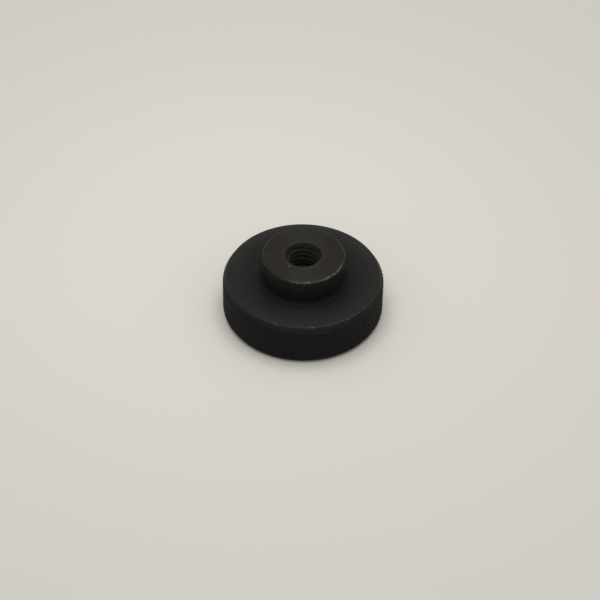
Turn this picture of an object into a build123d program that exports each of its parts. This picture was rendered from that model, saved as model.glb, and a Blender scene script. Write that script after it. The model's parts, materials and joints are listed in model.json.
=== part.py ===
from build123d import *
from math import ceil, cos, pi, radians, sin, tan
import os

# Lock knob: one turned piece of blackened steel, a disc with a diamond-knurled rim and a
# smaller plain boss, tapped right through. Millimetres. The origin is the centre of the
# base face, and +Z runs up the hole towards the boss.

# Disc
disc_diameter = 36.0  # over the crests of the knurl
disc_thickness = 10.0
rim_chamfer_width = 0.75  # the same at both edges, about 30 degrees to the axis
rim_chamfer_height = 1.3

# Knurl: two crossing sets of grooves rolled into the rim, which leave rows of pyramids
knurl_pitch = 0.98  # from one groove to the next, square across them
knurl_angle = 32.5  # between a groove and the axis, in degrees
knurl_depth = 0.28

# Boss
boss_diameter = 18.5
boss_height = 6.0
boss_edge_chamfer = 0.25
boss_root_radius = 0.5

# Tapped hole, M8 x 1.25. Its wall stands at the crests of the thread
thread_diameter = 8.0
thread_pitch = 1.25
thread_crest_share = 1.0825  # diameter that a metric thread loses to its crests, in pitches
countersink_allowance = 0.1  # diameter of a countersink over the thread
countersink_angle = 90.0

# The blank is turned this much over the crests, so that the knurl alone shapes the rim
blank_allowance = 0.25

# Worked out from the sizes above
disc_radius = disc_diameter / 2
boss_radius = boss_diameter / 2
total_height = disc_thickness + boss_height
blank_radius = disc_radius + blank_allowance
blank_chamfer_height = (rim_chamfer_width + blank_allowance) * rim_chamfer_height / rim_chamfer_width
hole_radius = (thread_diameter - thread_crest_share * thread_pitch) / 2
countersink_radius = (thread_diameter + countersink_allowance) / 2
countersink_depth = (countersink_radius - hole_radius) / tan(radians(countersink_angle / 2))

# A whole number of grooves starts round the rim, and each column is half a groove wide
knurl_starts = round(pi * disc_diameter * cos(radians(knurl_angle)) / knurl_pitch)
columns = 2 * knurl_starts
column_angle = 2 * pi / columns
row_height = disc_radius * column_angle / tan(radians(knurl_angle))
rows = ceil(disc_thickness / row_height)
knurl_start_height = (disc_thickness - rows * row_height) / 2

os.makedirs("parts", exist_ok=True)


def knurl_point(column, row):
    """A corner of the pyramids: peaks and groove crossings take turns, as on a chessboard."""
    is_peak = (column + row) % 2 == 1
    radius = disc_radius if is_peak else disc_radius - knurl_depth
    angle = (column % columns) * column_angle
    return Vector(radius * cos(angle), radius * sin(angle), knurl_start_height + row * row_height)


def flat_face(*points):
    """A flat face with the points as its corners, in order."""
    return Face(Wire.make_polygon(points, close=True))


def knurl_cell(column, row):
    """The two facets of one cell, which meet in the groove that crosses it."""
    low_left = knurl_point(column, row)
    low_right = knurl_point(column + 1, row)
    high_right = knurl_point(column + 1, row + 1)
    high_left = knurl_point(column, row + 1)
    if (column + row) % 2 == 0:
        return [flat_face(low_left, low_right, high_right), flat_face(low_left, high_right, high_left)]
    return [flat_face(low_left, low_right, high_left), flat_face(low_right, high_right, high_left)]


def knurl_envelope():
    """A closed solid with the knurled rim as its side, and ends that lie beyond the knob."""
    low_edge = [knurl_point(column, 0) for column in range(columns)]
    high_edge = [knurl_point(column, rows) for column in range(columns)]
    low_end = [Vector(point.X, point.Y, -total_height) for point in low_edge]
    high_end = [Vector(point.X, point.Y, 2 * total_height) for point in high_edge]
    faces = [flat_face(*low_end), flat_face(*high_end)]
    for column in range(columns):
        for row in range(rows):
            faces += knurl_cell(column, row)
        following = (column + 1) % columns
        faces.append(flat_face(low_end[column], low_end[following], low_edge[following], low_edge[column]))
        faces.append(flat_face(high_edge[column], high_edge[following], high_end[following], high_end[column]))
    return Solid(Shell(faces))


rim_shape = knurl_envelope()

with BuildPart() as lock_knob:
    # Half of the section, turned round the hole
    with BuildSketch(Plane.XZ) as section:
        with BuildLine():
            Polyline(
                (hole_radius, countersink_depth),
                (countersink_radius, 0),
                (disc_radius - rim_chamfer_width, 0),
                (blank_radius, blank_chamfer_height),
                (blank_radius, disc_thickness - blank_chamfer_height),
                (disc_radius - rim_chamfer_width, disc_thickness),
                (boss_radius, disc_thickness),
                (boss_radius, total_height),
                (countersink_radius, total_height),
                (hole_radius, total_height - countersink_depth),
                close=True,
            )
        make_face()
        boss_side = section.edges().filter_by(Axis.Y).sort_by(Axis.X)[1]
        chamfer(boss_side.vertices().sort_by(Axis.Y)[-1], boss_edge_chamfer)
        boss_side = section.edges().filter_by(Axis.Y).sort_by(Axis.X)[1]
        fillet(boss_side.vertices().sort_by(Axis.Y)[0], boss_root_radius)
    revolve(axis=Axis.Z)
    add(rim_shape, mode=Mode.INTERSECT)

lock_knob.part.label = "lock_knob"
export_step(lock_knob.part, "parts/lock_knob.step")
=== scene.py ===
import json
import logging
import math
from dataclasses import dataclass, field
from enum import Enum
from functools import cached_property

import bpy
import numpy as np
from mathutils import Matrix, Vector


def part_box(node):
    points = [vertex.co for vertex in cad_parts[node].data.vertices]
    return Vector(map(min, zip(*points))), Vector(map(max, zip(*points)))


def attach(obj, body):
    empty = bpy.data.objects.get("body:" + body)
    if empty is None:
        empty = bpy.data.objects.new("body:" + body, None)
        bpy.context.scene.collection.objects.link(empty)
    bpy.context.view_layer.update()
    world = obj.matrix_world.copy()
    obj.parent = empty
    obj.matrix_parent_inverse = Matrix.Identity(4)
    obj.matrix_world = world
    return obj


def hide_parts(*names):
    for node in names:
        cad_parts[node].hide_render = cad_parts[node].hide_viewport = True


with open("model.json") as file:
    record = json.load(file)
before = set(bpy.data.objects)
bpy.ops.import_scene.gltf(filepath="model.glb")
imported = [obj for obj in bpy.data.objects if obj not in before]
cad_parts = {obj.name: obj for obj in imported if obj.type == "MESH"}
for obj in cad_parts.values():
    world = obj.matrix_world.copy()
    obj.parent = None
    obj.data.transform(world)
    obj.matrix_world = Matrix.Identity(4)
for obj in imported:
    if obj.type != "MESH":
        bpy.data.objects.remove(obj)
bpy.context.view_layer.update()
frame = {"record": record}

# A lock knob turned from one piece of blackened steel: a disc with a diamond-knurled rim,
# a smaller plain boss and a tapped hole. Lengths are metres, +Z runs up the hole, and the
# knob stands on its disc at the origin. The studio is a pale floor under soft light.

MM = 0.001
TURN = 2 * math.pi
NOISE_MIDDLE = 0.5

# The Mix node's sockets for colours, by number, because its other kinds share their names
MIX_FIRST, MIX_SECOND, MIX_RESULT = 6, 7, 2

log = logging.getLogger("lock_knob")


class Edge(Enum):
    """Which of the knob's vertex attributes a mask reads."""

    BREAK = "edge_break"
    CREST = "knurl_crest"


@dataclass(frozen=True)
class Pattern:
    """A fractal noise.

    The scale is how many features there are in a metre, the octaves say how often finer
    copies are added, and the fineness how strong each copy is beside the one before it.
    A linear pattern follows one value, and any other fills space.
    """

    scale: float
    octaves: float
    fineness: float
    linear: bool = False


class Socket:
    """A shader value that takes part in Python sums, each of which adds a Math node."""

    def __init__(self, graph: "Graph", link: bpy.types.NodeSocket) -> None:
        """Wraps an output socket.

        Args:
            graph: the material's nodes.
            link: the output that holds the value.
        """
        self.graph = graph
        self.link = link

    def _sum(self, operation: str, *values: "Socket | float") -> "Socket":
        """Adds one Math node.

        Args:
            operation: the node's operation.
            values: what it works on, in order.

        Returns:
            The result.
        """
        inputs = dict(enumerate(values))
        return self.graph.add("ShaderNodeMath", {"operation": operation}, inputs)

    def __add__(self, other: "Socket | float") -> "Socket":
        """self + other."""
        return self._sum("ADD", self, other)

    def __radd__(self, other: float) -> "Socket":
        """other + self."""
        return self._sum("ADD", other, self)

    def __sub__(self, other: "Socket | float") -> "Socket":
        """self - other."""
        return self._sum("SUBTRACT", self, other)

    def __rsub__(self, other: float) -> "Socket":
        """other - self."""
        return self._sum("SUBTRACT", other, self)

    def __mul__(self, other: "Socket | float") -> "Socket":
        """self * other."""
        return self._sum("MULTIPLY", self, other)

    def __rmul__(self, other: float) -> "Socket":
        """other * self."""
        return self._sum("MULTIPLY", other, self)

    def __truediv__(self, other: "Socket | float") -> "Socket":
        """self / other."""
        return self._sum("DIVIDE", self, other)

    def __pow__(self, other: "Socket | float") -> "Socket":
        """self ** other."""
        return self._sum("POWER", self, other)

    def size(self) -> "Socket":
        """The value without its sign."""
        return self._sum("ABSOLUTE", self)

    def larger(self, other: "Socket | float") -> "Socket":
        """The larger of the two."""
        return self._sum("MAXIMUM", self, other)

    def ramp(self, low: float, high: float, share: float = 1.0) -> "Socket":
        """A smooth step.

        Args:
            low: the value at and below which the step is 0.
            high: the value at and above which it is full.
            share: what it is there.

        Returns:
            The step, from 0 to the share.
        """
        return self.graph.add(
            "ShaderNodeMapRange",
            {"interpolation_type": "SMOOTHSTEP"},
            {"Value": self, "From Min": low, "From Max": high, "To Max": share},
        )

    def past(self, size: float, reach: tuple) -> "Socket":
        """A smooth step near one of the knob's sizes.

        Args:
            size: the size.
            reach: the offsets from it at which the step starts and is full, and then the
                step's share, if that isn't 1.

        Returns:
            The step.
        """
        start, full, *share = reach
        return self.ramp(size + start, size + full, *share)


class Graph:
    """The nodes of one material or world."""

    def __init__(self, owner: bpy.types.Material | bpy.types.World) -> None:
        """Empties the owner's node tree.

        Args:
            owner: the material or world that the nodes belong to.
        """
        owner.use_nodes = True
        self.tree = owner.node_tree
        self.tree.nodes.clear()

    def add(self, kind: str, settings: dict | None = None, inputs: dict | None = None,
            output: int | str = 0) -> Socket | None:
        """Adds a node of any kind.

        Args:
            kind: the node's type.
            settings: its own settings, set before its sockets.
            inputs: a value or a link for each named or numbered input.
            output: the output to return.

        Returns:
            The chosen output, or None where the node has none.
        """
        node = self.tree.nodes.new(kind)
        for name, value in (settings or {}).items():
            setattr(node, name, value)
        for name, value in (inputs or {}).items():
            if isinstance(value, Socket):
                self.tree.links.new(value.link, node.inputs[name])
            else:
                node.inputs[name].default_value = value
        return Socket(self, node.outputs[output]) if node.outputs else None

    def blend(self, share: Socket | float, first: Socket | tuple, second: Socket | tuple) -> Socket:
        """Mixes two colours.

        Args:
            share: how much of the second colour shows, from 0 to 1.
            first: the first colour.
            second: the second colour.

        Returns:
            The mixed colour.
        """
        inputs = {0: share, MIX_FIRST: first, MIX_SECOND: second}
        return self.add("ShaderNodeMix", {"data_type": "RGBA"}, inputs, MIX_RESULT)

    def vector(self, operation: str, first: Socket, second: tuple = (), output: str = "Value") -> Socket:
        """Adds a Vector Math node.

        Args:
            operation: the node's operation.
            first: the vector that it works on.
            second: the other vector, where it has one.
            output: whether the result is its Value or its Vector.

        Returns:
            The result.
        """
        inputs = {0: first, 1: second} if second else {0: first}
        return self.add("ShaderNodeVectorMath", {"operation": operation}, inputs, output)

    def parts(self, vector: Socket) -> list[Socket]:
        """The three parts of a vector."""
        first = self.add("ShaderNodeSeparateXYZ", {}, {0: vector})
        return [Socket(self, output) for output in first.link.node.outputs]

    def noise(self, where: Socket, pattern: Pattern) -> Socket:
        """A fractal noise.

        Args:
            where: the coordinates, or the one value that a linear pattern follows.
            pattern: the noise's pattern.

        Returns:
            The noise, about 0 to 1.
        """
        dimensions, name = ("1D", "W") if pattern.linear else ("3D", "Vector")
        inputs = {name: where, "Scale": pattern.scale, "Detail": pattern.octaves}
        inputs["Roughness"] = pattern.fineness
        return self.add("ShaderNodeTexNoise", {"noise_dimensions": dimensions}, inputs)

    def attribute(self, edge: Edge) -> Socket:
        """One of the piece's own vertex attributes."""
        return self.add("ShaderNodeAttribute", {"attribute_name": edge.value}, output="Fac")


@dataclass(frozen=True)
class Knurl:
    """Rows of pyramids left by two crossing sets of grooves."""

    radius: float
    depth: float = 0.22 * MM
    pitch: float = 0.98 * MM
    angle: float = 32.5
    crest_flat: float = 0.3

    @property
    def starts(self) -> int:
        """How many grooves of each set there are round the rim."""
        return round(TURN * self.radius * math.cos(math.radians(self.angle)) / self.pitch)

    @property
    def row(self) -> float:
        """The height from one row of peaks to the next."""
        return math.pi * self.radius / self.starts / math.tan(math.radians(self.angle))

    def crest(self, angle: np.ndarray, height: np.ndarray) -> np.ndarray:
        """How far up its pyramid a point is.

        Each set of grooves is a triangle wave, 0 in the groove and 1 half way to the next.
        The waves' phases are the sum and the difference of the place round the rim, counted
        in half grooves, and the height, counted in rows. The lower wave is the pyramid p,
        which the flat cuts short, and 1 - (1 - p) ** 2 rounds what is left of its sides.

        Args:
            angle: the angle round the rim.
            height: the height over the middle of the first row of crossings.

        Returns:
            0 in the grooves and 1 at the peaks.
        """
        across = angle * self.starts / math.pi
        along = height / self.row
        first, second = ((across + sign * along) / 2 for sign in (1, -1))
        waves = [1 - np.abs(2 * np.mod(phase, 1.0) - 1) for phase in (first, second)]
        pyramid = np.minimum(np.minimum(*waves) / (1 - self.crest_flat), 1)
        return 1 - (1 - pyramid) ** 2


@dataclass(frozen=True)
class Thread:
    """A right-hand metric thread cut in the hole."""

    crest_radius: float
    root_radius: float = 4.0 * MM
    pitch: float = 1.25 * MM
    crest_flat: float = 0.25
    root_flat: float = 0.125
    rounding: float = 0.5
    start_angle: float = 0.83 * TURN

    def wall(self, angle: np.ndarray, height: np.ndarray) -> np.ndarray:
        """The radius of the thread's wall.

        The phase is the height in pitches less the turns made. Its distance from the middle
        of the root, from 0 to 1 at the middle of the crest, falls through the two flats and
        a straight flank between them, whose ends a sine wave rounds.

        Args:
            angle: the angle round the hole.
            height: the height.

        Returns:
            The radius.
        """
        phase = np.mod(height / self.pitch - (angle - self.start_angle) / TURN, 1.0)
        from_crest = 1 - self.crest_flat - np.abs(2 * phase - 1)
        flank = np.clip(from_crest / (1 - self.crest_flat - self.root_flat), 0, 1)
        rounded = flank - self.rounding * np.sin(TURN * flank) / TURN
        return self.crest_radius + (self.root_radius - self.crest_radius) * rounded


def rounded_path(corners: np.ndarray, radii: np.ndarray, steps: int) -> np.ndarray:
    """A path of straight runs joined by tangent arcs.

    Each arc's points are the corner's first tangent point, swung about the arc's centre,
    which lies on the corner's bisector at the radius over the sine of half the corner.

    Args:
        corners: the path's corners, as rows of radius and height.
        radii: an arc's radius for each corner, 0 for none.
        steps: how many chords an arc has.

    Returns:
        The points of the path, as rows of radius and height.
    """
    pieces = []
    for index, radius in enumerate(radii):
        if radius == 0:
            pieces.append(corners[index:index + 1])
            continue
        before, corner, after = corners[index - 1:index + 2]
        inward = (before - corner) / np.linalg.norm(before - corner)
        outward = (after - corner) / np.linalg.norm(after - corner)
        half = math.acos(float(np.clip(inward @ outward, -1, 1))) / 2
        bisector = (inward + outward) / np.linalg.norm(inward + outward)
        centre = corner + bisector * radius / math.sin(half)
        x, y = corner + inward * radius / math.tan(half) - centre
        turn = math.copysign(1.0, -inward[0] * outward[1] + inward[1] * outward[0])
        angles = turn * (math.pi - 2 * half) * np.linspace(0, 1, steps + 1)
        cosine, sine = np.cos(angles), np.sin(angles)
        pieces.append(centre + np.stack([x * cosine - y * sine, x * sine + y * cosine], axis=1))
    return np.concatenate(pieces)


@dataclass
class Band:
    """A stretch of the turned surface, as rings of points with the same count."""

    points: np.ndarray
    wear: np.ndarray
    crest: np.ndarray
    rising: np.ndarray | None = None

    @property
    def rings(self) -> int:
        """How many rings the band has."""
        return self.points.shape[0]

    @property
    def columns(self) -> int:
        """How many points each ring has."""
        return self.points.shape[1]


@dataclass
class LockKnob:
    """The knob, as one closed surface of bands of rings that follow its section.

    A point of the section is its radius and its height. The guards are places near a worn
    edge, counted in widths of the wear.
    """

    disc_radius: float
    total_height: float
    hole_radius: float
    disc_thickness: float = 10.0 * MM
    chamfer_width: float = 0.75 * MM
    chamfer_height: float = 1.3 * MM
    boss_radius: float = 9.25 * MM
    boss_chamfer: float = 0.25 * MM
    boss_root: float = 0.5 * MM
    mouth_radius: float = 4.05 * MM
    mouth_round: float = 0.15 * MM
    edge_break: float = 0.08 * MM
    worn_width: float = 0.11 * MM
    guards: tuple = (0.6, 1.2, 1.8, 2.6)
    boss_wear: float = 1.0
    rim_wear: float = 0.35
    mouth_wear: float = 0.6
    knurl_wear: float = 0.6
    plain_spacing: float = 0.8 * MM
    knurl_steps: int = 4
    fine_steps: int = 4
    thread_rows: int = 24
    arc_steps: int = 5
    merge_digits: int = 9
    sharp_angle: float = 32.0
    knurl: Knurl = field(init=False)
    thread: Thread = field(init=False)

    def __post_init__(self) -> None:
        """Sizes the knurl and the thread from the disc and the hole."""
        self.knurl = Knurl(self.disc_radius)
        self.thread = Thread(self.hole_radius)

    @property
    def columns(self) -> int:
        """Points round the plain surfaces, two for each groove of the knurl."""
        return 2 * self.knurl.starts

    def turned(self, corners: list[tuple], edges: list[tuple]) -> Band:
        """Turns a path round the axis: each ring is radius * cos, radius * sin and height.

        The path's two ends only say where it comes from and goes to, and get no ring. The
        wear is the largest of the edges' bell curves of the distance to them.

        Args:
            corners: points, or rows of them, each with the radius that rounds it.
            edges: the worn edges, as radius, height and how worn each is.

        Returns:
            The band.
        """
        rows = [np.reshape(points, (-1, 2)) for points, _ in corners]
        radii = np.repeat([radius for _, radius in corners], [len(row) for row in rows])
        path = rounded_path(np.concatenate(rows), radii, self.arc_steps)[1:-1]
        marks = np.array(edges)
        distance = np.linalg.norm(path[:, None] - marks[None, :, :2], axis=2)
        wear = (marks[:, 2] * np.exp(-((distance / self.worn_width) ** 2))).max(axis=1)
        angle = TURN * np.arange(self.columns) / self.columns
        radius, height = path[:, :1], path[:, 1:]
        points = np.stack(
            [radius * np.cos(angle), radius * np.sin(angle), height + 0 * angle], axis=2
        )
        spread = np.repeat(wear[:, None], self.columns, axis=1)
        return Band(points, spread, np.zeros_like(spread))

    def guarded(self, first: float, last: float) -> np.ndarray:
        """Places along a straight run between two worn edges.

        They are close together near the ends, where the wear changes, and wide apart between.

        Args:
            first: where the run starts.
            last: where it ends.

        Returns:
            The places, from first to last, without the ends themselves.
        """
        length = abs(last - first)
        near = np.array(self.guards) * self.worn_width
        middle = np.linspace(near[-1], length - near[-1], 2 + round(length / self.plain_spacing))
        places = np.concatenate([near, middle[1:-1], length - near[::-1]])
        return first + math.copysign(1.0, last - first) * places

    def level(self, first: float, last: float, height: float) -> tuple[np.ndarray, float]:
        """A guarded run of a flat face, with no rounding.

        Args:
            first: the radius where the run starts.
            last: the radius where it ends.
            height: the face's height.

        Returns:
            The run's points, and 0.
        """
        places = self.guarded(first, last)
        return np.stack([places, np.full(places.shape, height)], axis=1), 0.0

    def inward(self, height: np.ndarray | float) -> np.ndarray | float:
        """How far a height on the disc is from the nearer of its two faces."""
        return np.minimum(height, self.disc_thickness - height)

    def cone(self, height: np.ndarray | float) -> np.ndarray | float:
        """The chamfers' radius: the edge's, and more by the distance inward over their slope."""
        edge = self.disc_radius - self.chamfer_width
        return edge + self.inward(height) * self.chamfer_width / self.chamfer_height

    def rim_heights(self, start: float, rows: int) -> np.ndarray:
        """The heights of the rim's rings.

        They keep to the knurl's rows, in steps, and are closer where the chamfers cut
        through the pyramids.

        Args:
            start: the height of the first row.
            rows: how many rows there are.

        Returns:
            The heights, in order.
        """
        step = self.knurl.row / self.knurl_steps
        coarse = start + step * np.arange(1, rows * self.knurl_steps)
        finer = self.knurl_steps * self.fine_steps
        fine = start + self.knurl.row / finer * np.arange(1, rows * finer)
        low = self.chamfer_height * (1 - self.knurl.depth / self.chamfer_width)
        near = (self.inward(fine) > low) & (self.inward(fine) < self.chamfer_height + step)
        kept = coarse[self.inward(coarse) > self.chamfer_height]
        lower = np.array([self.edge_break, low / 2, low])
        heights = np.concatenate([kept, fine[near], lower, self.disc_thickness - lower])
        return np.unique(np.round(heights, self.merge_digits))

    def rim(self) -> Band:
        """The knurled rim with both chamfers.

        The radius is the knurl's, or the chamfer cone's where that is less.

        Returns:
            The band, with the direction in which each cell's groove rises.
        """
        knurl = self.knurl
        rows = math.ceil(self.disc_thickness / knurl.row)
        start = (self.disc_thickness - rows * knurl.row) / 2
        height = self.rim_heights(start, rows)[:, None]
        columns = self.columns * self.knurl_steps
        angle = TURN * np.arange(columns) / columns
        crest = knurl.crest(angle[None], height - start)
        radius = knurl.radius - knurl.depth * (1 - crest)
        cone = self.cone(height)
        cut = np.minimum(radius, cone)
        points = np.stack([cut * np.cos(angle), cut * np.sin(angle), height + 0 * angle], axis=2)
        middle = (height[1:] + height[:-1]) / 2
        cell = np.floor((middle - start) / knurl.row) + np.arange(columns) // self.knurl_steps
        lip = np.clip(1 - np.abs(radius - cone) / self.worn_width, 0, 1) ** 2
        wear = self.knurl_wear * lip * crest
        return Band(points, wear, np.where(radius < cone, crest, 0), cell % 2 == 0)

    def hole(self) -> Band:
        """The tapped hole with both countersinks, from its mouth down.

        The radius is the thread's, or the countersink cone's where that is more. Each ring
        rises with the thread by up to one row and then steps back, so that the thread's
        edges lie along the rings or across a cell from corner to corner.

        Returns:
            The band.
        """
        columns = self.knurl.starts
        row = self.thread.pitch / self.thread_rows
        count = math.floor((self.total_height - 2 * self.edge_break) / row) - 1
        first = (self.total_height - count * row) / 2
        level = first + row * np.arange(count + 1)
        angle = TURN * np.arange(columns) / columns
        lift = np.mod(self.thread_rows * np.arange(columns) / columns, 1.0) * row
        rise = np.ones(count + 1)
        rise[[0, -1]] = 0
        height = level[:, None] + rise[:, None] * lift[None]
        height[-1] = self.total_height - first + row
        cone = self.mouth_radius - np.minimum(height, self.total_height - height)
        radius = np.maximum(self.thread.wall(angle[None], height), cone)
        points = np.stack([radius * np.cos(angle), radius * np.sin(angle), height], axis=2)[::-1]
        blank = np.zeros(points.shape[:2])
        return Band(points, blank, blank, np.zeros((count, columns), dtype=bool))

    def bands(self) -> list[Band]:
        """The whole surface, from the hole's lower end out, up and back down the hole."""
        # Heights: the base, the disc's face, the boss's top and the foot of its chamfer
        bottom, top, summit = 0.0, self.disc_thickness, self.total_height
        shoulder = summit - self.boss_chamfer
        # Radii: the edge of the disc's face, the boss, the edge of its top and the mouth
        rim, boss = self.disc_radius - self.chamfer_width, self.boss_radius
        crown, mouth = boss - self.boss_chamfer, self.mouth_radius
        # Where the neighbouring surfaces begin, just past an edge
        small = self.edge_break
        inner, flare = mouth - small, float(self.cone(small))

        side = self.guarded(top + self.boss_root, shoulder)
        side = np.stack([np.full(side.shape, boss), side], axis=1)
        boss_edges = [(boss, shoulder, self.boss_wear), (crown, summit, self.boss_wear)]
        base = self.turned(
            [((inner, small), 0), ((mouth, bottom), self.mouth_round), self.level(mouth, rim, bottom),
             ((rim, bottom), small), ((flare, small), 0)],
            [(rim, bottom, self.rim_wear)],
        )
        upper = self.turned(
            [((flare, top - small), 0), ((rim, top), small), self.level(rim, boss + self.boss_root, top),
             ((boss, top), self.boss_root), (side, 0), ((boss, shoulder), small),
             ((crown, summit), small), ((mouth, summit), 0)],
            [(rim, top, self.rim_wear)] + boss_edges,
        )
        plateau = self.turned(
            [((crown, summit), 0), self.level(crown, mouth, summit),
             ((mouth, summit), self.mouth_round), ((inner, summit - small), 0)],
            [(mouth, summit, self.mouth_wear)] + boss_edges,
        )
        return [base, self.rim(), upper, plateau, self.hole()]

    @staticmethod
    def cells(band: Band, first: int) -> list[list[int]]:
        """The faces inside a band: quads, or triangles where the band says how cells rise.

        Args:
            band: the rings.
            first: the number of the band's first point.

        Returns:
            Each face's points, in order.
        """
        number = first + np.arange(band.rings * band.columns).reshape(band.rings, band.columns)
        a, b = number[:-1], np.roll(number[:-1], -1, axis=1)
        d, c = number[1:], np.roll(number[1:], -1, axis=1)
        if band.rising is None:
            return np.stack([a, b, c, d], axis=2).reshape(-1, 4).tolist()
        rising = band.rising[..., None]
        one = np.where(rising, np.stack([a, b, c], axis=2), np.stack([a, b, d], axis=2))
        two = np.where(rising, np.stack([a, c, d], axis=2), np.stack([b, c, d], axis=2))
        return np.concatenate([one.reshape(-1, 3), two.reshape(-1, 3)]).tolist()

    @staticmethod
    def seam(below: np.ndarray, above: np.ndarray) -> list[list[int]]:
        """The faces between two rings, one of which has a whole number of times the other's points.

        Args:
            below: the numbers of the lower ring's points.
            above: the numbers of the upper ring's points.

        Returns:
            Each face's points, in order.
        """
        cells = min(len(below), len(above))
        low, high = len(below) // cells, len(above) // cells
        corner = np.arange(cells)[:, None]
        lower = below[(corner * low + np.arange(low + 1)) % len(below)]
        upper = above[(corner * high + np.arange(high, -1, -1)) % len(above)]
        return np.concatenate([lower, upper], axis=1).tolist()

    def build(self, finish: bpy.types.Material) -> bpy.types.Object:
        """Makes the knob's mesh and dresses it.

        Args:
            finish: the blackened steel.

        Returns:
            The knob.
        """
        bands = self.bands()
        starts = np.cumsum([0] + [band.rings * band.columns for band in bands])
        faces = []
        for index, band in enumerate(bands):
            faces += self.cells(band, int(starts[index]))
            last = starts[index + 1] - band.columns + np.arange(band.columns)
            following = (index + 1) % len(bands)
            first = starts[following] + np.arange(bands[following].columns)
            faces += self.seam(last, first)
        points = np.concatenate([band.points.reshape(-1, 3) for band in bands])
        mesh = bpy.data.meshes.new("knob_body")
        mesh.from_pydata(points.tolist(), [], faces)
        layers = {
            Edge.BREAK: np.concatenate([band.wear.ravel() for band in bands]),
            Edge.CREST: np.concatenate([band.crest.ravel() for band in bands]),
        }
        for edge, values in layers.items():
            layer = mesh.attributes.new(edge.value, "FLOAT", "POINT")
            layer.data.foreach_set("value", values.astype(np.float32))
        mesh.polygons.foreach_set("use_smooth", np.ones(len(mesh.polygons), dtype=bool))
        mesh.set_sharp_from_angle(angle=math.radians(self.sharp_angle))
        mesh.materials.append(finish)
        knob = bpy.data.objects.new("knob_body", mesh)
        bpy.context.scene.collection.objects.link(knob)
        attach(knob, "root")
        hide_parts("lock_knob")
        return knob


# The first two colours are used only to paint shade and light into the finish: the black paints shade,
# and the dull grey paints paler light.
PAINTED_SHADE_BLACK = (0.0, 0.0, 0.0, 1.0)
PAINTED_LIGHT_TONE = (0.030, 0.0295, 0.028, 1.0)
BARE = (0.300, 0.290, 0.260, 1.0)
RUST = (0.034, 0.014, 0.009, 1.0)
UMBER = (0.020, 0.012, 0.008, 1.0)
OCHRE = (0.110, 0.090, 0.045, 1.0)
PALE_BLUE = (0.050, 0.052, 0.060, 1.0)
SILVER = (0.180, 0.175, 0.160, 1.0)

# In the layers below, a step is a tuple of where it starts, where it is full and, if it isn't
# 1, its share. A step's lengths are offsets from one of the knob's sizes. Only the painted sheen's
# step from the axis to the back, and both depths, from the nearer end of the hole, are places as such.
# Four of the layers also paint shade and light into the colour.


@dataclass
class Site:
    """What every layer of the finish reads: the place, two noises and the knob's zones.

    A zone is a mask, 1 in the zone and 0 outside.
    """

    graph: Graph
    knob: LockKnob
    where: Socket = field(init=False)
    y: Socket = field(init=False)
    z: Socket = field(init=False)
    radius: Socket = field(init=False)
    cloud: Socket = field(init=False)
    grain: Socket = field(init=False)
    clouds: Pattern = Pattern(260.0, 4.0, 0.55)
    grains: Pattern = Pattern(1700.0, 3.0, 0.6)
    crown_edge: tuple = (-0.4 * MM, -0.1 * MM)
    mouth_edge: tuple = (-0.05 * MM, 0.03 * MM)
    face_start: tuple = (-0.5 * MM, -0.1 * MM)
    face_end: tuple = (0.4 * MM, 1.4 * MM)
    corner_edge: tuple = (0.25 * MM, 1.05 * MM)
    rim_edge: tuple = (-0.8 * MM, -0.6 * MM)
    knurl_edge: tuple = (-1.8 * MM, 0.6 * MM)

    def __post_init__(self) -> None:
        """Reads the object coordinates and lays both noises on them."""
        self.where = self.graph.add("ShaderNodeTexCoord", output="Object")
        x, self.y, self.z = self.graph.parts(self.where)
        self.radius = (x * x + self.y * self.y) ** 0.5
        self.cloud = self.graph.noise(self.where, self.clouds)
        self.grain = self.graph.noise(self.where, self.grains)

    @cached_property
    def crown(self) -> Socket:
        """The top of the boss."""
        return self.z.past(self.knob.total_height, self.crown_edge)

    @cached_property
    def hole(self) -> Socket:
        """The hole, with its countersinks."""
        return 1.0 - self.radius.past(self.knob.mouth_radius, self.mouth_edge)

    @cached_property
    def above_face(self) -> Socket:
        """The disc's face and all that is higher."""
        return self.z.past(self.knob.disc_thickness, self.face_start)

    @cached_property
    def face(self) -> Socket:
        """The disc's face and the foot of the boss."""
        return self.above_face * (1.0 - self.z.past(self.knob.disc_thickness, self.face_end))

    @cached_property
    def corner(self) -> Socket:
        """The corner between the face and the boss."""
        return self.face * (1.0 - self.radius.past(self.knob.boss_radius, self.corner_edge))

    @cached_property
    def rim(self) -> Socket:
        """The outside of the disc."""
        return self.radius.past(self.knob.disc_radius, self.rim_edge)

    @cached_property
    def from_middle(self) -> Socket:
        """The distance up or down from the middle of the disc."""
        return (self.z - self.knob.disc_thickness / 2).size()

    @cached_property
    def knurl(self) -> Socket:
        """The knurled band, which fades over the chamfers."""
        return self.rim * (1.0 - self.from_middle.past(self.knob.disc_thickness / 2, self.knurl_edge))


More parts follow.
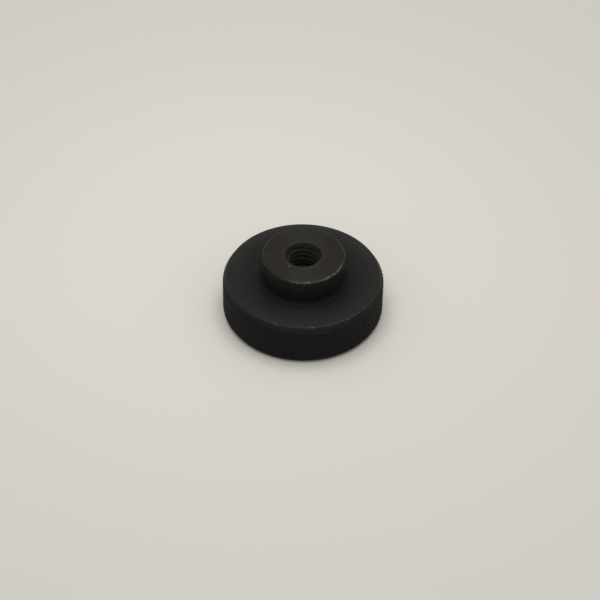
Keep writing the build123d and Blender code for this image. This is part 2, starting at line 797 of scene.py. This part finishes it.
@dataclass(frozen=True)
class Oxide:
    """The oxide itself, which is mottled on top of the boss and nearly even elsewhere."""

    dark: tuple = (0.0062, 0.0071, 0.0064, 1.0)
    ash: tuple = (0.0150, 0.0148, 0.0134, 1.0)
    plum: tuple = (0.0130, 0.0100, 0.0114, 1.0)
    olive: tuple = (0.0143, 0.0139, 0.0094, 1.0)
    brown: tuple = (0.0200, 0.0115, 0.0070, 1.0)
    blushes: Pattern = Pattern(700.0, 2.0, 0.6)
    patches: Pattern = Pattern(760.0, 4.0, 0.7)
    ash_clouds: tuple = (0.4, 0.8, 0.2)
    ash_grains: tuple = (0.4, 0.6, 0.6)
    plum_blushes: tuple = (0.5, 0.65, 0.4)
    olive_least: float = 0.15
    olive_clouds: tuple = (0.3, 0.7, 0.5)
    brown_patches: tuple = (0.45, 0.65, 0.5)

    def lay(self, site: Site) -> Socket:
        """Lays the oxide.

        Args:
            site: what the layers read.

        Returns:
            The oxide's colour.
        """
        graph = site.graph
        ashen = site.cloud.ramp(*self.ash_clouds) + site.grain.ramp(*self.ash_grains)
        blush = graph.noise(site.where, self.blushes).ramp(*self.plum_blushes)
        even = graph.blend(blush, graph.blend(ashen, self.dark, self.ash), self.plum)
        clouded = site.crown * (self.olive_least + site.cloud.ramp(*self.olive_clouds))
        patched = site.crown * graph.noise(site.where, self.patches).ramp(*self.brown_patches)
        return graph.blend(patched, graph.blend(clouded, even, self.olive), self.brown)


@dataclass(frozen=True)
class HoleWearAndPaintedLight:
    """A worn paler ring round the mouth, painted shade in the countersink, and painted light that makes
    the thread's roots paler deep in the hole.
    """

    cut: tuple = (0.029, 0.028, 0.026, 1.0)
    painted_fill_light: tuple = (0.130, 0.127, 0.120, 1.0)
    ring_place: float = 0.6 * MM
    ring_width: float = 0.55 * MM
    ring_share: float = 0.03
    grime_and_painted_shade: float = 0.45
    cut_depth: tuple = (0.6 * MM, 1.1 * MM)
    painted_fill_depth: tuple = (3.0 * MM, 7.0 * MM, 0.8)
    root: tuple = (0.077 * MM, 0.577 * MM)

    def lay(self, site: Site, under: Socket) -> Socket:
        """Lays the ring, the painted shade, the cut thread and the painted light in the roots.

        Args:
            site: what the layers read.
            under: the colour below.

        Returns:
            The colour with them.
        """
        graph, knob = site.graph, site.knob
        off_ring = (site.radius - (knob.mouth_radius + self.ring_place)) / self.ring_width
        ring = site.crown * (1.0 - off_ring.size().ramp(0.0, 1.0))
        colour = graph.blend(ring * (site.cloud * self.ring_share), under, BARE)
        half = knob.total_height / 2
        depth = half - (site.z - half).size()
        # Painted shade: the hole is darkened towards black, which shows in the countersink above the cut
        # thread.
        colour = graph.blend(site.hole * self.grime_and_painted_shade, colour, PAINTED_SHADE_BLACK)
        colour = graph.blend(site.hole * depth.ramp(*self.cut_depth), colour, self.cut)
        # Painted light: the thread's roots deep in the hole are made paler to lift their shade.
        roots = site.hole * site.radius.past(knob.hole_radius, self.root)
        return graph.blend(roots * depth.ramp(*self.painted_fill_depth), colour, self.painted_fill_light)


@dataclass(frozen=True)
class FacePaintedShadeAndSheen:
    """The disc's face: painted shade towards the boss and in its corner, and a painted sheen that makes
    it paler outside and more so towards the back.
    """

    painted_shade_fade: tuple = (0.25 * MM, 5.75 * MM)
    painted_shade_least: float = 0.35
    painted_shade_clouds: float = 0.3
    corner_painted_shade: float = 0.65
    painted_sheen: tuple = (-4.5 * MM, -0.7 * MM)
    painted_sheen_front: float = 0.16
    painted_sheen_back: tuple = (0.0, 9.0 * MM, 0.22)
    painted_sheen_least: float = 0.6
    painted_sheen_clouds: float = 0.8

    def lay(self, site: Site, under: Socket) -> Socket:
        """Lays the painted shade and the ring of painted sheen.

        Args:
            site: what the layers read.
            under: the colour below.

        Returns:
            The colour with both.
        """
        graph, knob = site.graph, site.knob
        # Painted shade: darker towards the boss and darkest in the corner at its foot, where the boss
        # shades the face.
        grime_and_painted_shade = site.face * (1.0 - site.radius.past(knob.boss_radius, self.painted_shade_fade))
        grime_and_painted_shade = grime_and_painted_shade * (self.painted_shade_least + self.painted_shade_clouds * site.cloud)
        grime_and_painted_shade = grime_and_painted_shade.larger(site.corner * self.corner_painted_shade)
        # Painted sheen: paler towards the rim, where the boss shades the face less, and more so towards
        # the back, in place of reflected light.
        painted_sheen = site.face * site.radius.past(knob.disc_radius, self.painted_sheen)
        painted_sheen = painted_sheen * (self.painted_sheen_front + site.y.ramp(*self.painted_sheen_back))
        painted_sheen = painted_sheen * (self.painted_sheen_least + self.painted_sheen_clouds * site.cloud)
        return graph.blend(painted_sheen, graph.blend(grime_and_painted_shade, under, PAINTED_SHADE_BLACK), PAINTED_LIGHT_TONE)


@dataclass(frozen=True)
class WallPaintedLightAndShade:
    """The boss's side, with painted light that makes it a little paler near its top and painted shade at
    its foot.
    """

    pale: tuple = (-3.0 * MM, -0.2 * MM, 0.08)
    foot: tuple = (0.3 * MM, 4.5 * MM)
    outside: tuple = (0.05 * MM, 0.45 * MM)
    grime_and_painted_shade: float = 0.3

    def lay(self, site: Site, under: Socket) -> Socket:
        """Lays the painted light on the upper part and the painted shade at the foot.

        Args:
            site: what the layers read.
            under: the colour below.

        Returns:
            The colour with both.
        """
        graph, knob = site.graph, site.knob
        solid = 1.0 - site.hole
        # Painted light: the upper part of the side is made paler, as if it caught more light.
        pale = site.z.past(knob.total_height, self.pale) * (1.0 - site.crown)
        colour = graph.blend(pale * solid, under, PAINTED_LIGHT_TONE)
        # Painted shade: the foot of the side is darkened towards black, where the disc's face shades it.
        foot = site.above_face * (1.0 - site.z.past(knob.disc_thickness, self.foot))
        wall = foot * (1.0 - site.radius.past(knob.boss_radius, self.outside)) * solid
        return graph.blend(wall * self.grime_and_painted_shade, colour, PAINTED_SHADE_BLACK)


@dataclass(frozen=True)
class KnurlDirtAndPaintedFill:
    """The knurled rim, dark with grime, and with painted light that makes its grooves paler to lift
    their shade.
    """

    deep_green: tuple = (0.0, 0.0014, 0.0010, 1.0)
    grime_and_painted_shade: float = 0.56
    groove_painted_fill: float = 0.38
    groove_painted_fill_edge: tuple = (-0.4 * MM, 0.0)

    def lay(self, site: Site, under: Socket) -> Socket:
        """Lays the grime and the painted light in the grooves.

        Args:
            site: what the layers read.
            under: the colour below.

        Returns:
            The colour with both.
        """
        graph, knob = site.graph, site.knob
        colour = graph.blend(site.knurl * self.grime_and_painted_shade, under, self.deep_green)
        # Painted light: the grooves between the chamfers are made paler to lift the shade in them.
        half = knob.disc_thickness / 2 - knob.chamfer_height
        between = 1.0 - site.from_middle.past(half, self.groove_painted_fill_edge)
        grooves = site.rim * between * (1.0 - graph.attribute(Edge.CREST))
        return graph.blend(grooves * self.groove_painted_fill, colour, PAINTED_LIGHT_TONE)


@dataclass(frozen=True)
class EdgeWear:
    """Bare metal along the edges, thin and in chips, and a trace on the knurl's peaks.

    There is more of it where an edge faces the worn side, and less on the sheltered side.
    """

    chips: Pattern = Pattern(1200.0, 4.0, 0.65)
    chipped: tuple = (0.45, 0.64)
    sheltered_side: tuple = (-0.88, -0.47, 0.0)
    sheltered: tuple = (0.4, 0.9, 0.85)
    worn_side: tuple = (0.39, -0.92, 0.0)
    worn: tuple = (0.5, 0.9)
    level: tuple = (1.0, 1.0, 0.0)
    thin: float = 0.01
    thin_worn: float = 0.07
    chip: float = 0.05
    chip_worn: float = 0.36
    peak: float = 0.01
    peak_sharpness: float = 6.0

    def bared(self, site: Site) -> Socket:
        """How far the oxide is rubbed off.

        Args:
            site: what the layers read.

        Returns:
            The share of bare metal.
        """
        graph = site.graph
        chips = graph.noise(site.where, self.chips).ramp(*self.chipped)
        flat = graph.vector("MULTIPLY", site.where, self.level, output="Vector")
        heading = graph.vector("NORMALIZE", flat, output="Vector")
        sheltered = graph.vector("DOT_PRODUCT", heading, self.sheltered_side).ramp(*self.sheltered)
        worn = graph.vector("DOT_PRODUCT", heading, self.worn_side).ramp(*self.worn)
        bare = self.thin + self.thin_worn * worn + chips * (self.chip + self.chip_worn * worn)
        edges = graph.attribute(Edge.BREAK) * bare * (1.0 - sheltered)
        return edges.larger(graph.attribute(Edge.CREST) ** self.peak_sharpness * self.peak * chips)


@dataclass(frozen=True)
class ToolMarks:
    """The fine rings that turning leaves, and the grain of the oxide."""

    rings: Pattern = Pattern(9000.0, 3.0, 0.6, linear=True)
    ring_height: float = 0.6
    grain_height: float = 0.5
    strength: float = 0.25
    height: float = 0.02 * MM

    def normal(self, site: Site) -> Socket:
        """The bumped normal.

        Args:
            site: what the layers read.

        Returns:
            The normal.
        """
        rings = site.graph.noise(site.radius + site.z, self.rings)
        relief = self.ring_height * rings + self.grain_height * site.grain
        inputs = {"Strength": self.strength, "Distance": self.height, "Height": relief}
        return site.graph.add("ShaderNodeBump", {}, inputs)


@dataclass(frozen=True)
class Mark:
    """A stain or a rubbed spot, with its place and its radius in millimetres."""

    place: tuple
    radius: float
    colour: tuple
    share: float
    fray: float = 2.0
    edge: float = 1.1

    def lay(self, site: Site, under: Socket) -> Socket:
        """Lays the mark: a disc whose distance the clouds fray.

        Args:
            site: what the layers read.
            under: the colour below.

        Returns:
            The colour with the mark.
        """
        place = tuple(MM * value for value in self.place)
        distance = site.graph.vector("DISTANCE", site.where, place) / (self.radius * MM)
        frayed = distance + self.fray * (site.cloud - NOISE_MIDDLE)
        covered = (1.0 - frayed.ramp(0.0, self.edge)) * self.share
        return site.graph.blend(covered, under, self.colour)


# These lie on top of the boss, on the disc's face, on its upper edge and on the rim
MARKS = (
    Mark((-7.84, -0.30, 16.0), 1.3, RUST, 0.45),
    Mark((3.82, 4.59, 16.0), 1.0, RUST, 0.5),
    Mark((-1.52, -6.08, 16.0), 1.6, UMBER, 0.6),
    Mark((-5.60, 4.60, 16.0), 1.8, UMBER, 0.4),
    Mark((-3.21, -3.82, 16.0), 0.5, OCHRE, 0.6),
    Mark((-10.55, 5.50, 10.0), 0.4, PALE_BLUE, 0.35),
    Mark((-10.58, 2.80, 10.0), 0.5, SILVER, 0.05),
    Mark((-10.58, 1.90, 10.0), 0.8, UMBER, 0.6),
    Mark((-9.31, -7.46, 10.0), 0.35, SILVER, 0.07),
    Mark((7.47, -6.98, 10.0), 0.35, SILVER, 0.05),
    Mark((-14.13, 7.61, 10.0), 0.9, UMBER, 0.3),
    Mark((-5.90, -16.20, 10.0), 0.35, SILVER, 0.25),
    Mark((2.22, -17.05, 10.0), 0.35, SILVER, 0.35),
    Mark((10.01, -14.00, 10.0), 0.35, SILVER, 0.30),
    Mark((15.20, -9.60, 5.0), 1.6, RUST, 0.25),
    Mark((-14.20, -11.10, 3.5), 1.6, RUST, 0.2),
    Mark((5.40, -17.20, 1.4), 1.2, RUST, 0.15),
)


@dataclass(frozen=True)
class BlackenedSteel:
    """Turned steel with a black oxide finish, in layers of oxide, dirt, wear, painted shade and light,
    and marks.
    """

    gloss: float = 0.13
    brushed: float = 0.65
    brushed_turn: float = 0.25
    bare_metallic: float = 0.5
    roughness: float = 0.40
    cloud_roughness: float = 0.12
    grain_roughness: float = 0.1
    knurl_roughness: float = 0.25
    corner_roughness: float = 0.3
    hole_roughness: float = 0.35

    def rough(self, site: Site) -> Socket:
        """The roughness, which both noises vary, and which is more in the dirty zones.

        Args:
            site: what the layers read.

        Returns:
            The roughness.
        """
        even = self.roughness + self.cloud_roughness * (site.cloud - NOISE_MIDDLE)
        even = even + self.grain_roughness * (site.grain - NOISE_MIDDLE)
        dirty = site.knurl * self.knurl_roughness + site.corner * self.corner_roughness
        return even + dirty + site.hole * self.hole_roughness

    def build(self, knob: LockKnob) -> bpy.types.Material:
        """Makes the material.

        Args:
            knob: the knob that the finish is for.

        Returns:
            The finish, with its patterns on object coordinates.
        """
        material = bpy.data.materials.new("blackened_steel")
        site = Site(Graph(material), knob)
        colour = Oxide().lay(site)
        # These four layers paint shade and light into the colour, some of them besides dirt and wear.
        for layer in (HoleWearAndPaintedLight(), FacePaintedShadeAndSheen(), WallPaintedLightAndShade(), KnurlDirtAndPaintedFill()):
            colour = layer.lay(site, colour)
        bared = EdgeWear().bared(site)
        colour = site.graph.blend(bared, colour, BARE)
        for mark in MARKS:
            colour = mark.lay(site, colour)
        shader = site.graph.add(
            "ShaderNodeBsdfPrincipled", {},
            {"Base Color": colour, "Roughness": self.rough(site), "Metallic": bared * self.bare_metallic,
             "Normal": ToolMarks().normal(site), "Specular IOR Level": self.gloss,
             "Anisotropic": self.brushed, "Anisotropic Rotation": self.brushed_turn},
        )
        site.graph.add("ShaderNodeOutputMaterial", {}, {"Surface": shader})
        return material


@dataclass(frozen=True)
class Studio:
    """The pale floor, whose colour holds a painted pool of light that is lightest behind the knob, the
    world and the lamp.
    """

    paper_in_painted_light: tuple = (0.640, 0.607, 0.552, 1.0)
    paper_outside_painted_light: tuple = (0.556, 0.537, 0.503, 1.0)
    painted_light_centre: tuple = (-0.012, 0.02, 0.0)
    painted_light_fade: tuple = (0.0, 0.13)
    clear_fade: tuple = (0.5, 1.9)
    floor_rings: tuple = (0.2, 0.6, 1.4, 2.0)
    floor_columns: int = 64
    floor_level: float = -0.01 * MM
    sky: tuple = (0.66, 0.63, 0.58, 1.0)
    white: tuple = (1.0, 1.0, 1.0, 1.0)
    ambient: float = 0.60
    lamp_power: float = 2.3
    lamp_size: float = 0.5
    lamp_place: tuple = (-0.01, 0.01, 0.60)

    def build(self) -> bpy.types.Object:
        """Makes the floor, the world and the lamp, and returns the floor."""
        self.world()
        self.lamp()
        return self.floor()

    def paper(self) -> bpy.types.Material:
        """The floor's pale paper, with a painted pool of light, which fades out far from the knob."""
        material = bpy.data.materials.new("studio_paper")
        graph = Graph(material)
        where = graph.add("ShaderNodeTexCoord", output="Object")
        # Painted light: the paper's colour is lightest round one place behind the knob and darker away
        # from it, a painted pool of light.
        distance = graph.vector("DISTANCE", where, self.painted_light_centre)
        colour = graph.blend(distance.ramp(*self.painted_light_fade), self.paper_in_painted_light, self.paper_outside_painted_light)
        paper = graph.add("ShaderNodeBsdfDiffuse", {}, {"Color": colour})
        clear = graph.add("ShaderNodeBsdfTransparent")
        far = distance.ramp(*self.clear_fade)
        faded = graph.add("ShaderNodeMixShader", {}, {0: far, 1: paper, 2: clear})
        graph.add("ShaderNodeOutputMaterial", {}, {"Surface": faded})
        return material

    def floor(self) -> bpy.types.Object:
        """A flat disc just under the knob: rings of radius * cos and radius * sin."""
        rings, columns = np.array(self.floor_rings)[:, None], self.floor_columns
        angle = TURN * np.arange(columns) / columns
        level = np.full((len(rings), columns), self.floor_level)
        points = np.stack([rings * np.cos(angle), rings * np.sin(angle), level], axis=2)
        number = np.arange(len(rings) * columns).reshape(-1, columns)
        around = np.roll(number, -1, axis=1)
        faces = np.stack([number[:-1], number[1:], around[1:], around[:-1]], axis=2)
        mesh = bpy.data.meshes.new("studio_floor")
        middle = [number[0].tolist()]
        mesh.from_pydata(points.reshape(-1, 3).tolist(), [], faces.reshape(-1, 4).tolist() + middle)
        mesh.materials.append(self.paper())
        floor = bpy.data.objects.new("studio_floor", mesh)
        bpy.context.scene.collection.objects.link(floor)
        return floor

    def world(self) -> None:
        """A pale world for the camera and for reflections, and a dimmer one that lights."""
        world = bpy.data.worlds.new("studio_world")
        bpy.context.scene.world = world
        graph = Graph(world)
        names = ("Is Camera Ray", "Is Glossy Ray", "Is Transmission Ray")
        camera, glossy, through = (graph.add("ShaderNodeLightPath", output=name) for name in names)
        pale = graph.add("ShaderNodeBackground", {}, {"Color": self.sky, "Strength": 1.0})
        dim = graph.add("ShaderNodeBackground", {}, {"Color": self.white, "Strength": self.ambient})
        seen = camera.larger(glossy).larger(through)
        both = graph.add("ShaderNodeMixShader", {}, {0: seen, 1: dim, 2: pale})
        graph.add("ShaderNodeOutputWorld", {}, {"Surface": both})

    def lamp(self) -> None:
        """One large soft lamp, above and a little behind the knob."""
        light = bpy.data.lights.new("soft_lamp", "AREA")
        light.shape = "DISK"
        light.size = self.lamp_size
        light.energy = self.lamp_power
        lamp = bpy.data.objects.new("soft_lamp", light)
        place = np.array(self.lamp_place)
        away = place / np.linalg.norm(place)
        side = np.cross((0.0, 1.0, 0.0), away)
        side /= np.linalg.norm(side)
        axes = np.stack([side, np.cross(away, side), away], axis=1)
        matrix = np.eye(4)
        matrix[:3, :3], matrix[:3, 3] = axes, place
        lamp.matrix_world = Matrix(matrix.tolist())
        bpy.context.scene.collection.objects.link(lamp)


@dataclass(frozen=True)
class PhotoCamera:
    """The camera of the photograph, found from the outline of the knob."""

    frame_pixels: float = 600.0
    elevation: float = 42.85
    roll: float = 0.955
    distance: float = 524.0 * MM
    radius_pixels: float = 79.51
    base_pixel: tuple = (302.17, 307.05)
    sensor: float = 36.0
    nearest: float = 10.0 * MM

    def build(self, disc_radius: float) -> None:
        """Makes the camera.

        The camera stands back from the base's centre along the line of sight, and is moved
        across it so that the centre falls on its pixel.

        Args:
            disc_radius: the radius that the pixel scale is measured on.
        """
        tilt, roll = math.radians(self.elevation), math.radians(self.roll)
        back = np.array([0.0, -math.cos(tilt), math.sin(tilt)])
        level, upright = np.array([1.0, 0.0, 0.0]), np.array([0.0, math.sin(tilt), math.cos(tilt)])
        right = math.cos(roll) * level + math.sin(roll) * upright
        up = -math.sin(roll) * level + math.cos(roll) * upright
        pixel = disc_radius / self.radius_pixels
        middle = (self.frame_pixels - 1) / 2
        place = (back * self.distance - right * (self.base_pixel[0] - middle) * pixel
                 + up * (self.base_pixel[1] - middle) * pixel)
        data = bpy.data.cameras.new("photo_camera")
        data.sensor_width = self.sensor
        data.lens = self.sensor * self.distance / (pixel * self.frame_pixels)
        data.clip_start = self.nearest
        camera = bpy.data.objects.new("photo_camera", data)
        matrix = np.eye(4)
        matrix[:3, :3], matrix[:3, 3] = np.stack([right, up, back], axis=1), place
        camera.matrix_world = Matrix(matrix.tolist())
        bpy.context.scene.collection.objects.link(camera)
        bpy.context.scene.camera = camera


def main() -> None:
    """Builds the camera, the studio and the knob, and reports the pieces."""
    logging.basicConfig(level=logging.INFO, format="%(name)s %(message)s")
    bpy.context.scene.view_settings.view_transform = "Standard"
    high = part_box("lock_knob")[1]
    mounts = {mount["name"]: mount for mount in frame["record"]["mounts"]}
    hole_radius = mounts["thread"]["dims"]["r_mm"] * MM
    knob = LockKnob(disc_radius=float(high[0]), total_height=float(high[2]), hole_radius=hole_radius)
    PhotoCamera().build(knob.disc_radius)
    for piece in (Studio().build(), knob.build(BlackenedSteel().build(knob))):
        counts = len(piece.data.vertices), len(piece.data.polygons)
        log.info("%s: %d points, %d faces", piece.name, *counts)


if __name__ == "__main__":
    main()
